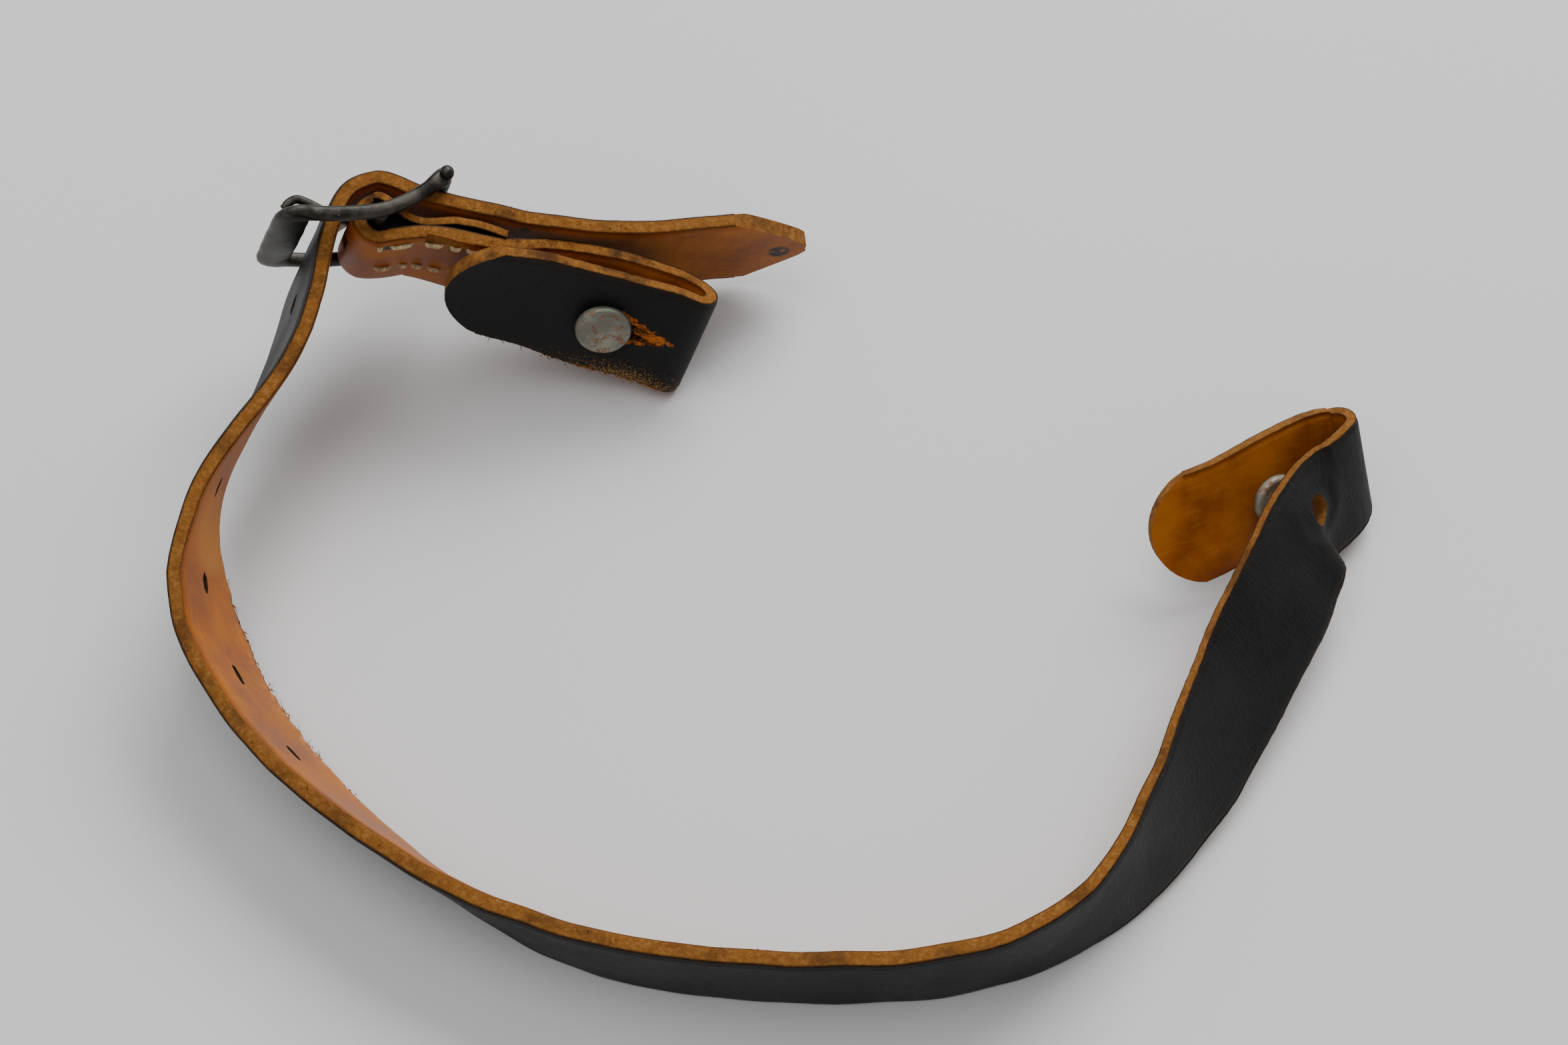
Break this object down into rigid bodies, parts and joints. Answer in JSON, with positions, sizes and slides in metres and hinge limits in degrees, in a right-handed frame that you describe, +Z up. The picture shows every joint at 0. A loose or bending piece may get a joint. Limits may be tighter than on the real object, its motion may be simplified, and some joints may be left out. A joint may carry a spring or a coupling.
{
  "type": "buckled leather strap",
  "caption": "Short leather strap in two pieces joined by a tongue buckle, curled into an open C on its edge, with folded buttonhole tabs and stud buttons at both ends.",
  "frame": {"origin": "Centre of the footprint, on the surface that the strap stands on.", "axes": "+Z up across the strap's width; +X from the buckled side towards the open end tab; +Y towards the buckle from the closed bottom of the C."},
  "size_m": [0.1556, 0.1106, 0.036],
  "materials": {
    "strap_leather": "black grain face, smooth tan-orange flesh face, raw fibrous edges",
    "stud_metal": "dull oxidised plating with rust specks",
    "thread": "waxed thread",
    "buckle_metal": "dark worn steel"
  },
  "bodies": {
    "strap": {"long_strap": "strap_leather"},
    "buckle": {"buckle_frame": "buckle_metal"},
    "tongue": {"buckle_tongue": "buckle_metal"},
    "short_strap": {"short_strap": "strap_leather", "stitching_upper": "thread", "stitching_lower": "thread", "short_stud_head": "stud_metal", "short_stud_base": "stud_metal"},
    "long_tab": {"long_strap_tab": "strap_leather", "long_stud_head": "stud_metal", "long_stud_base": "stud_metal"},
    "short_tab": {"short_strap_tab": "strap_leather"}
  },
  "joints": [
    {"name": "buckle_swing", "type": "hinge", "parent": "strap", "child": "buckle", "pos_m": [-0.05566, 0.04444, 0.0224], "axis": [0.2832, -0.2923, 0.9134], "range_deg": [-1, 1]},
    {"name": "tongue_pivot", "type": "hinge", "parent": "buckle", "child": "tongue", "pos_m": [-0.05566, 0.04444, 0.0224], "axis": [0.2832, -0.2923, 0.9134], "range_deg": [-3, 3]},
    {"name": "short_strap_swing", "type": "hinge", "parent": "buckle", "child": "short_strap", "pos_m": [-0.05566, 0.04444, 0.0224], "axis": [-0.2832, 0.2923, -0.9134], "range_deg": [0, 35]},
    {"name": "long_tab_fold", "type": "hinge", "parent": "strap", "child": "long_tab", "pos_m": [0.07533, 0.0184, 0.00912], "axis": [0.2614, -0.3518, -0.8988], "range_deg": [0, 100]},
    {"name": "short_tab_fold", "type": "hinge", "parent": "short_strap", "child": "short_tab", "pos_m": [-0.01256, 0.0368, 0.00775], "axis": [0.3675, 0.315, 0.8751], "range_deg": [-0.5, 1]}
  ]
}
